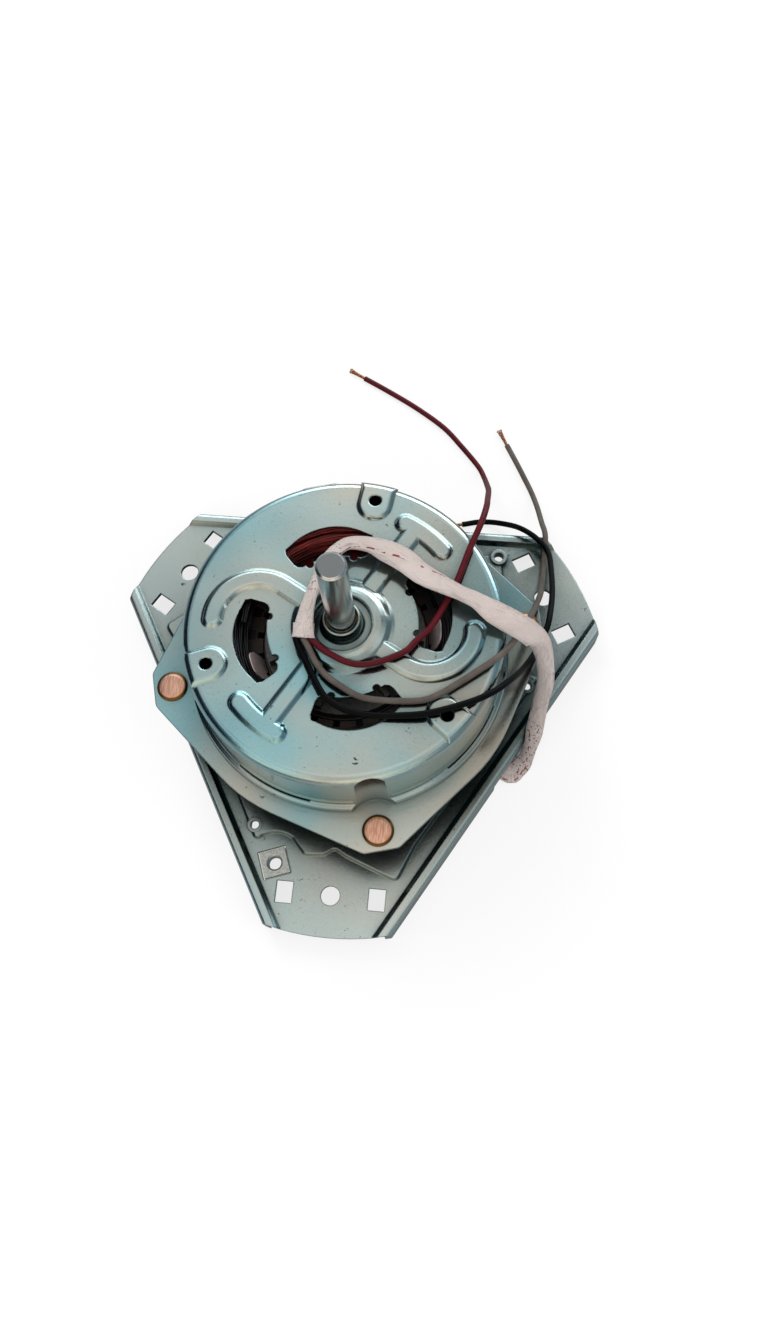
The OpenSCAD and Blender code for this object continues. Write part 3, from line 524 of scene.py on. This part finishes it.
def zincMaterial(name):
    look = zincSet[name]
    made, tree, shader = material(name)
    sheet = node(tree, "ShaderNodeGroup", {"Wave": look["wave"], "Grain": look["grain"]},
                 node_tree=sheetNodes).outputs
    tone = ramp(tree, sheet["Tone"], [(zincSet["coolAt"], look["cool"]), (zincSet["warmAt"], look["warm"])])
    stained = blendColour(tree, sheet["Stain"], tone, zincSet["stain"])
    scratched = blendColour(tree, sheet["Scratch"], stained, zincSet["stain"])
    # Painted shade: closed-in places get the shade colour, by ambient occlusion out to the finish's reach
    gap = node(tree, "ShaderNodeAmbientOcclusion", {"Distance": look["gap"]}, samples=8)
    openness = between(tree, gap.outputs["AO"], look["paintedShadeOpenness"])
    rough = between(tree, sheet["Tone"], zincSet["toneRange"], around(look["roughness"], 0.03, 0.07))
    setShader(tree, shader, {
        "Base Color": blendColour(tree, openness, zincSet["paintedShade"], scratched),
        "Metallic": 1.0,
        "Roughness": rough,
        "Normal": bump(tree, sheet["Height"], look["depth"], Normal=roundedEdge(tree, zincSet["edge"])),
    })
    return made


# Plain metals, with a fine even grain: colour and roughness of each
metalSet = {
    "plainSteel": (rgb(214, 216, 212), 0.34),
    "castAluminium": (rgb(120, 118, 118), 0.55),
    "porousBronze": (rgb(176, 138, 84), 0.45),
    "bareCopper": (rgb(200, 134, 98), 0.35),
    "grain": 1200.0,
    "dark": 0.6,
    "depth": 0.03 * mm,
    "edge": 0.2 * mm,
}


def plainMetal(name):
    colour, roughness = metalSet[name]
    made, tree, shader = material(name)
    grain = noise(tree, objectPlace(tree), metalSet["grain"], 4.0)
    setShader(tree, shader, {
        "Base Color": ramp(tree, grain, [(0.3, darker(colour, metalSet["dark"])), (0.65, colour)]),
        "Metallic": 1.0,
        "Roughness": between(tree, grain, (0.0, 1.0), around(roughness, 0.08, 0.12)),
        "Normal": bump(tree, grain, metalSet["depth"], Normal=roundedEdge(tree, metalSet["edge"])),
    })
    return made


# Ground round bar: faint rings along its length, and a duller turned end face
shaftSet = {
    "side": (rgb(206, 204, 204), rgb(236, 234, 234)),
    "end": rgb(138, 136, 136),
    "rings": (40, 40, 2500),
    "roughness": (0.2, 0.42),
    "depth": 0.01 * mm,
    "edge": 0.3 * mm,
}


def groundShaft():
    made, tree, shader = material("groundShaft")
    rings = noise(tree, mapped(tree, objectPlace(tree), shaftSet["rings"]), 1.0, 2.0)
    side = ramp(tree, rings, [(0.3, shaftSet["side"][0]), (0.7, shaftSet["side"][1])])
    facing = separate(tree, node(tree, "ShaderNodeNewGeometry").outputs["Normal"])
    top = between(tree, facing[2], (0.85, 0.95))
    setShader(tree, shader, {
        "Base Color": blendColour(tree, top, side, shaftSet["end"]),
        "Metallic": 1.0,
        "Roughness": between(tree, top, (0.0, 1.0), shaftSet["roughness"]),
        "Normal": bump(tree, rings, shaftSet["depth"], Normal=roundedEdge(tree, shaftSet["edge"])),
    })
    return made


# Insulation of the leads: colour and shine
insulationSet = {
    "red": (rgb(82, 8, 20), 0.22),
    "grey": (rgb(92, 84, 78), 0.2),
    "black": (rgb(5, 5, 6), 0.08),
    "grain": 180.0,
    "dark": 0.7,
    "roughness": 0.44,
    "depth": 0.08 * mm,
}


def insulation(tint):
    colour, shine = insulationSet[tint]
    made, tree, shader = material(tint + "Insulation")
    grain = noise(tree, objectPlace(tree), insulationSet["grain"], 3.0)
    setShader(tree, shader, {
        "Base Color": ramp(tree, grain, [(0.35, darker(colour, insulationSet["dark"])), (0.7, colour)]),
        "Roughness": between(tree, grain, (0.0, 1.0), around(insulationSet["roughness"], 0.06, 0.1)),
        "Specular IOR Level": shine,
        "Normal": bump(tree, grain, insulationSet["depth"]),
    })
    return made


# Coils: dark red enamel where the back vent shows them, black binding tape on the rest
coilSet = {
    "enamel": rgb(122, 30, 24),
    "tape": rgb(16, 15, 16),
    "middle": 105.0,   # direction of the back vent, in degrees
    "reach": 52.0,     # to each side of it
    "grain": 240.0,
    "dark": 0.45,
    "roughness": 0.32,
    "depth": 0.1 * mm,
}


def boundWire():
    made, tree, shader = material("redEnamel")
    place = objectPlace(tree)
    out = vectorMaths(tree, "NORMALIZE", vectorMaths(tree, "MULTIPLY", place, (1, 1, 0)))
    middle = math.radians(coilSet["middle"])
    facing = vectorMaths(tree, "DOT_PRODUCT", out, (math.cos(middle), math.sin(middle), 0))
    bare = maths(tree, "GREATER_THAN", facing, math.cos(math.radians(coilSet["reach"])))
    grain = noise(tree, place, coilSet["grain"], 3.0)
    enamel = ramp(tree, grain, [(0.35, darker(coilSet["enamel"], coilSet["dark"])), (0.7, coilSet["enamel"])])
    setShader(tree, shader, {
        "Base Color": blendColour(tree, bare, coilSet["tape"], enamel),
        "Roughness": coilSet["roughness"],
        "Normal": bump(tree, grain, coilSet["depth"]),
    })
    return made


# Braided cloth, with one red marking thread that comes and goes, and dark flecks where it is worn
clothSet = {
    "cloth": rgb(220, 208, 203),
    # Painted shade: the low spots of the weave and of its blotches get this darker colour
    "paintedShade": rgb(178, 162, 157),
    "thread": rgb(140, 52, 50),
    "fleck": rgb(70, 56, 52),
    "threads": 26.0,             # round the sleeve
    "pitch": 110.0,              # per tenth of a metre along it
    "blotch": 90.0,
    "shadeRange": (-0.3, 1.3),
    "markDrift": (0.85, 0.15),   # turns that the marking thread makes per tenth of a metre, and its start
    "markWidth": 0.014,
    "markDash": 420.0,
    "worn": [(2.2, 0.1), (0.66, 0.14)],   # middle and reach of the worn stretches, near the mouth and the lip
    "fleckGrain": 1300.0,
    "fleckCut": 0.61,
    "roughness": 0.75,
    "sheen": 0.15,
    "foldScale": (3.5, 7.0, 1.0),
    "folds": 2.2,
    "foldDepth": 1.4 * mm,
    "weaveDepth": 0.12 * mm,
}


def sleeveMaterial():
    made, tree, shader = material("wovenSleeve")
    uv = node(tree, "ShaderNodeUVMap", uv_map="along").outputs[0]
    across, along = separate(tree, uv)[:2]
    place = objectPlace(tree)
    threads = maths(tree, "MULTIPLY", across, clothSet["threads"])
    rows = maths(tree, "MULTIPLY", along, clothSet["pitch"])
    waves = []
    for operation in ("ADD", "SUBTRACT"):
        turns = maths(tree, operation, threads, rows)
        waves.append(maths(tree, "SINE", maths(tree, "MULTIPLY", turns, 2 * math.pi)))
    weave = maths(tree, "MULTIPLY", *waves)
    height = maths(tree, "ADD", noise(tree, place, clothSet["blotch"], 4.0), weave)
    # Painted shade: low spots of the weave's height are drawn in the darker colour
    cloth = blendColour(tree, between(tree, height, clothSet["shadeRange"]), clothSet["paintedShade"],
                        clothSet["cloth"])
    drift = maths(tree, "MULTIPLY_ADD", along, *clothSet["markDrift"])
    fromMark = maths(tree, "FRACT", maths(tree, "SUBTRACT", across, drift))
    marked = maths(tree, "COMPARE", fromMark, 0.5, clothSet["markWidth"])
    dashes = maths(tree, "GREATER_THAN", noise(tree, place, clothSet["markDash"], 1.0), 0.5)
    threaded = blendColour(tree, maths(tree, "MULTIPLY", marked, dashes), cloth, clothSet["thread"])
    worn = maths(tree, "MAXIMUM", *[maths(tree, "COMPARE", along, *stretch) for stretch in clothSet["worn"]])
    speckle = noise(tree, place, clothSet["fleckGrain"], 2.0)
    flecks = maths(tree, "GREATER_THAN", speckle, clothSet["fleckCut"])
    folds = noise(tree, mapped(tree, uv, clothSet["foldScale"]), clothSet["folds"], 2.0, Distortion=1.2)
    wrinkled = bump(tree, folds, clothSet["foldDepth"])
    setShader(tree, shader, {
        "Base Color": blendColour(tree, maths(tree, "MULTIPLY", worn, flecks), threaded, clothSet["fleck"]),
        "Roughness": clothSet["roughness"],
        "Sheen Weight": clothSet["sheen"],
        "Normal": bump(tree, height, clothSet["weaveDepth"], Strength=0.8, Normal=wrinkled),
    })
    return made


# Brushed copper head with a brass-coloured rim, measured from the nearest of the four rivets
rivetSet = {
    "circle": 67.2 * mm,
    "turn": -15,                 # degrees that bring the four rivets onto the axes
    "rim": (4.5, 4.9),           # mm from the middle of a head
    "copper": (rgb(214, 150, 124), rgb(250, 200, 176)),
    "brass": rgb(120, 84, 44),
    # Painted darker reflection: the colour that glossy rays see, so that the head's image in the zinc looks
    # shaded
    "mirrored": rgb(74, 52, 44),   # duller where the zinc mirrors it
    "brush": (900, 120, 300),
    "roughness": 0.34,
    "depth": 0.04 * mm,
}


def rivetMaterial():
    made, tree, shader = material("copperRivet")
    place = objectPlace(tree)
    turned = mapped(tree, place, turn=(0, 0, math.radians(rivetSet["turn"])))
    sizes = separate(tree, vectorMaths(tree, "ABSOLUTE", turned))
    far = maths(tree, "MAXIMUM", sizes[0], sizes[1])
    near = maths(tree, "MINIMUM", sizes[0], sizes[1])
    spot = node(tree, "ShaderNodeCombineXYZ", {0: far, 1: near}).outputs[0]
    away = vectorMaths(tree, "DISTANCE", spot, (rivetSet["circle"], 0, 0))
    rim = between(tree, maths(tree, "MULTIPLY", away, 1 / mm), rivetSet["rim"])
    streaks = noise(tree, mapped(tree, place, rivetSet["brush"]), 2.0, 4.0)
    copper = ramp(tree, streaks, [(0.35, rivetSet["copper"][0]), (0.65, rivetSet["copper"][1])])
    head = blendColour(tree, rim, copper, rivetSet["brass"])
    # Glossy rays get the painted darker reflection colour in place of the head's own
    rays = node(tree, "ShaderNodeLightPath").outputs
    setShader(tree, shader, {
        "Base Color": blendColour(tree, rays["Is Glossy Ray"], head, rivetSet["mirrored"]),
        "Metallic": 1.0,
        "Roughness": rivetSet["roughness"],
        "Normal": bump(tree, streaks, rivetSet["depth"]),
    })
    return made


# Stack of thin sheets: fine lines that follow the height, with a little rust
stackSet = {
    "colour": rgb(60, 58, 58),
    "rust": rgb(92, 70, 56),
    "sheet": 0.5 * mm,
    "grain": 120.0,
    "metallic": 0.8,
    "roughness": 0.5,
    "depth": 0.06 * mm,
}


def laminations():
    made, tree, shader = material("coreSheets")
    place = objectPlace(tree)
    phase = maths(tree, "MULTIPLY", separate(tree, place)[2], 2 * math.pi / stackSet["sheet"])
    grain = noise(tree, place, stackSet["grain"], 4.0)
    setShader(tree, shader, {
        "Base Color": ramp(tree, grain, [(0.4, stackSet["colour"]), (0.75, stackSet["rust"])]),
        "Metallic": stackSet["metallic"],
        "Roughness": stackSet["roughness"],
        "Normal": bump(tree, maths(tree, "SINE", phase), stackSet["depth"]),
    })
    return made


# Paper, felt and stiff sheet: colour, roughness, grain per metre and depth of the grain
matteSet = {
    "slotPaper": (rgb(66, 58, 52), 0.7, 300.0, 0.1 * mm),
    "oiledFelt": (rgb(88, 76, 60), 0.95, 900.0, 0.4 * mm),
    "insulationSheet": (rgb(196, 178, 176), 0.35, 120.0, 0.1 * mm),
    "dark": 0.55,
}


def matte(name):
    colour, roughness, scale, depth = matteSet[name]
    made, tree, shader = material(name)
    grain = noise(tree, objectPlace(tree), scale, 5.0, Roughness=0.65)
    setShader(tree, shader, {
        "Base Color": ramp(tree, grain, [(0.3, darker(colour, matteSet["dark"])), (0.7, colour)]),
        "Roughness": roughness,
        "Normal": bump(tree, grain, depth),
    })
    return made


steel = plainMetal("plainSteel")
aluminium = plainMetal("castAluminium")
bronze = plainMetal("porousBronze")
coreSheets = laminations()
felt = matte("oiledFelt")
redWire = boundWire()
strandCopper = plainMetal("bareCopper")

# Finish of each CAD piece
finishes = {
    "upper_shell": zincMaterial("zincShell"),
    "lower_shell": zincMaterial("zincLowerShell"),
    "mounting_bracket": zincMaterial("zincBracket"),
    "shell_rivets": rivetMaterial(),
    "bracket_screws": steel,
    "bracket_washers": steel,
    "square_nut": steel,
    "stator_core": coreSheets,
    "slot_liners": matte("slotPaper"),
    "slot_conductors": redWire,
    "upper_winding": redWire,
    "lower_winding": redWire,
    "upper_bush": bronze,
    "lower_bush": bronze,
    "upper_felt": felt,
    "lower_felt": felt,
    "upper_retainer": steel,
    "lower_retainer": steel,
    "shaft": groundShaft(),
    "rotor_core": coreSheets,
    "rotor_bars": aluminium,
    "upper_end_ring": aluminium,
    "lower_end_ring": aluminium,
    "upper_thrust_washer": bronze,
    "lower_thrust_washer": bronze,
}
for name, finish in finishes.items():
    for place in nodes[name].material_slots:
        place.material = finish

# Finish of the cords
sleeve.data.materials.append(sleeveMaterial())
for tint, (lead, strands) in leads.items():
    lead.data.materials.append(insulation(tint))
    strands.data.materials.append(strandCopper)
print("Materials made")

# End windings, in mm: each turn of the CAD wire becomes a twisted bundle of finer enamelled wires
windingSet = {
    "inner": 36.0,
    "pitch": 3.3,
    "across": 3,       # turns side by side in a layer
    "layers": 4,
    "climb": 0.5,      # share of a turn in which the wire climbs to the next layer
    "strands": 5,
    "strandRadius": 0.5,
    "roundness": 1,
    "bundleRadius": 0.78,
    "twist": 70.0,
    "perTurn": 40,     # points
    "short": 1e-6,     # of a turn, by which the line stops before the next layer starts
    "upper": (47.8, 1),
    "lower": (19.7, -1),
}


def windingPoint(t):
    # Place after t turns, with the height counted from the first layer
    across = windingSet["across"]
    layer = int(t // across)
    u = t - layer * across
    step = min(u, across - windingSet["climb"])
    if layer % 2:
        step = across - windingSet["climb"] - step
    r = windingSet["inner"] + windingSet["pitch"] * step
    z = windingSet["pitch"] * (layer + max(0.0, (u - across + windingSet["climb"]) / windingSet["climb"]))
    return Vector((r * math.cos(2 * math.pi * t), r * math.sin(2 * math.pi * t), z))


def addWinding(side):
    start, direction = windingSet[side]
    turns = windingSet["across"] * windingSet["layers"] - windingSet["climb"]
    line = []
    for i in range(int(turns * windingSet["perTurn"]) + 1):
        p = windingPoint(min(i / windingSet["perTurn"], turns - windingSet["short"]))
        line.append(Vector((p.x, p.y, start + direction * p.z)) * mm)
    lines = []
    for s in range(windingSet["strands"]):
        travelled = 0.0
        strand = []
        for i, p in enumerate(line):
            travelled += (p - line[i - 1]).length if i else 0
            out = Vector((p.x, p.y, 0)).normalized()
            angle = 2 * math.pi * (s / windingSet["strands"] + travelled / (windingSet["twist"] * mm))
            strand.append(p + (out * math.cos(angle) + Vector((0, 0, 1)) * math.sin(angle))
                          * windingSet["bundleRadius"] * mm)
        lines.append(strand)
    name = side + "Winding"
    mesh = smoothTube(name, lines, windingSet["strandRadius"] * mm, windingSet["roundness"])
    piece = addObject(name, mesh)
    piece.data.materials.append(redWire)
    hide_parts(side + "_winding")


# Stiff insulation tongues that lean outwards between the rotor and the coils, seen in the side vents
tongueSet = {
    "foot": (30.9, 46.4),      # distance from the axis and height, in mm
    "head": (34.2, 56.5),
    "thick": 0.4,
    "steps": 12,
    "cornerDrop": 0.35,        # share of its length by which the head's corners are cut
    "cornerPower": 5,
    "spans": {"leftTongue": (196, 214), "rightTongue": (-4, 16)},   # degrees
}


def addTongue(name, start, end, sheet):
    bm = bmesh.new()
    rows = []
    low, high = tongueSet["foot"], tongueSet["head"]
    for i in range(tongueSet["steps"] + 1):
        t = i / tongueSet["steps"]
        angle = math.radians(start + (end - start) * t)
        out = Vector((math.cos(angle), math.sin(angle), 0))
        reach = 1 - tongueSet["cornerDrop"] * abs(2 * t - 1) ** tongueSet["cornerPower"]
        top = [a + (b - a) * reach for a, b in zip(low, high)]
        row = []
        for r, z in (low, top):
            for push in (0, tongueSet["thick"]):
                row.append(bm.verts.new((out * (r + push) + Vector((0, 0, z))) * mm))
        rows.append(row)
    for a, b in zip(rows, rows[1:]):
        for k, n in ((0, 2), (2, 3), (3, 1), (1, 0)):
            bm.faces.new((a[k], a[n], b[n], b[k]))
    for row in (rows[0], rows[-1]):
        bm.faces.new((row[0], row[1], row[3], row[2]))
    piece = addObject(name, meshOfBmesh(name, bm))
    piece.data.materials.append(sheet)


tongueSheet = matte("insulationSheet")
for name, (start, end) in tongueSet["spans"].items():
    addTongue(name, start, end, tongueSheet)
for side in ("upper", "lower"):
    addWinding(side)
print("Windings and tongues made")

# Floor: white to the camera, grey where the zinc mirrors it, and plain white far from the motor
floorSet = {
    "halfSize": 3,
    "height": -8.1 * mm,
    "colour": 0.86,
    "roughness": 0.9,
    "mirrored": rgb(118, 128, 130),
    "plainFrom": (0.25, 0.8),   # distance from the motor in m
    "glow": (0.78, 1.0),
}


def seenDirectly(tree, rays):
    first = maths(tree, "MAXIMUM", rays["Is Camera Ray"], rays["Is Glossy Ray"])
    return maths(tree, "MAXIMUM", first, rays["Is Transmission Ray"])


def paleFloor():
    made, tree, shader = material("paleFloor")
    setShader(tree, shader, {"Base Color": grey(floorSet["colour"]), "Roughness": floorSet["roughness"]})
    rays = node(tree, "ShaderNodeLightPath").outputs
    shown = blendColour(tree, rays["Is Camera Ray"], floorSet["mirrored"], grey(1.0))
    glow = node(tree, "ShaderNodeEmission", {"Color": shown, "Strength": 1.0})
    away = vectorMaths(tree, "LENGTH", objectPlace(tree))
    plain = between(tree, away, floorSet["plainFrom"], floorSet["glow"])
    share = maths(tree, "MULTIPLY", seenDirectly(tree, rays), plain)
    mixed = node(tree, "ShaderNodeMixShader", {0: share, 1: shader.outputs[0], 2: glow.outputs[0]})
    tree.links.new(mixed.outputs[0], tree.nodes["Material Output"].inputs["Surface"])
    return made


def addFloor():
    bm = bmesh.new()
    bmesh.ops.create_grid(bm, x_segments=1, y_segments=1, size=floorSet["halfSize"])
    bmesh.ops.translate(bm, verts=bm.verts, vec=(0, 0, floorSet["height"]))
    mesh = bpy.data.meshes.new("floor")
    bm.to_mesh(mesh)
    bm.free()
    mesh.materials.append(paleFloor())
    floor = bpy.data.objects.new("floor", mesh)
    scene.collection.objects.link(floor)


addFloor()

# Surroundings as the metal mirrors them: grey above, a bright window behind, navy shade on the left,
# cream in front. An edge is where a tint starts and where it is full
roomSet = {
    "dome": [(0.0, rgb(40, 50, 60)), (0.25, rgb(84, 98, 104)), (0.50, rgb(96, 116, 124)),
             (0.70, rgb(150, 170, 176)), (0.82, rgb(224, 236, 238)), (0.92, rgb(206, 210, 208)),
             (1.0, rgb(246, 240, 232))],
    "front": {"colour": (1.05, 0.96, 0.80, 1), "edge": (-0.25, -0.8), "share": 0.85},
    "right": {"colour": rgb(128, 152, 164), "edge": (0.45, 0.9), "share": 0.7},
    "window": {"colour": (3.0, 3.5, 3.7, 1), "edge": (0.5, 0.72), "sill": (0.05, 0.2), "head": (0.74, 0.56)},
    "left": {"colour": rgb(14, 26, 40), "edge": (0.42, 0.72), "share": 0.95, "towards": (-0.93, 0.25, 0.0)},
    "patch": {"place": (0.03, 0.37, 0.93), "edge": (0.03, 0.11), "light": (0.66, 1.0)},
    "clouds": {"scale": 3.2, "edge": (0.35, 0.65), "light": (0.72, 1.2)},
    "diffuse": 0.72,
}


def buildRoom():
    world = bpy.data.worlds.new("studio")
    scene.world = world
    world.use_nodes = True
    tree = world.node_tree
    direction = node(tree, "ShaderNodeTexCoord").outputs["Generated"]
    x, y, z = separate(tree, direction)[:3]

    def band(source, edge, light=(0.0, 1.0)):
        return between(tree, source, edge, light, "SMOOTHSTEP")

    def tinted(source, below, tint):
        share = maths(tree, "MULTIPLY", band(source, tint["edge"]), tint["share"])
        return blendColour(tree, share, below, tint["colour"])

    room = ramp(tree, z, roomSet["dome"], "EASE")
    room = tinted(y, room, roomSet["front"])
    room = tinted(x, room, roomSet["right"])
    window = roomSet["window"]
    opening = maths(tree, "MULTIPLY", band(z, window["sill"]), band(z, window["head"]))
    share = maths(tree, "MULTIPLY", band(y, window["edge"]), opening)
    room = blendColour(tree, share, room, window["colour"])
    leftness = vectorMaths(tree, "DOT_PRODUCT", direction, roomSet["left"]["towards"])
    room = tinted(leftness, room, roomSet["left"])
    patch = roomSet["patch"]
    toPatch = vectorMaths(tree, "DISTANCE", direction, patch["place"])
    room = blendColour(tree, 1.0, room, band(toPatch, patch["edge"], patch["light"]), "MULTIPLY")
    clouds = roomSet["clouds"]
    cloudy = between(tree, noise(tree, direction, clouds["scale"], 1.0), clouds["edge"], clouds["light"])
    room = blendColour(tree, 1.0, room, cloudy, "MULTIPLY")
    rays = node(tree, "ShaderNodeLightPath").outputs
    soft = blendColour(tree, seenDirectly(tree, rays), grey(roomSet["diffuse"]), room)
    final = blendColour(tree, rays["Is Camera Ray"], soft, grey(1.0))
    setShader(tree, tree.nodes["Background"], {"Color": final, "Strength": 1.0})


buildRoom()

# Lamps: place, size, power and colour
lampSet = {
    "keyLamp": ((-0.5, 0.75, 0.9), 0.7, 8.0, (1.0, 1.0, 1.0)),
    "fillLamp": ((0.9, -0.3, 0.7), 0.8, 4.0, (1.0, 0.98, 0.95)),
    "frontLamp": ((-0.3, -0.9, 0.8), 0.6, 3.0, (0.97, 0.99, 1.0)),
}
lampTarget = (0, 0, 0.03)


def addLamp(name):
    place, size, power, colour = lampSet[name]
    data = bpy.data.lights.new(name, "AREA")
    data.shape = "DISK"
    data.size = size
    data.energy = power
    data.color = colour
    lamp = bpy.data.objects.new(name, data)
    lamp.location = place
    lamp.rotation_mode = "QUATERNION"
    lamp.rotation_quaternion = (Vector(lampTarget) - Vector(place)).to_track_quat("-Z", "Y")
    lamp.visible_glossy = False
    scene.collection.objects.link(lamp)


for name in lampSet:
    addLamp(name)
print("Stage made")

bpy.context.view_layer.update()
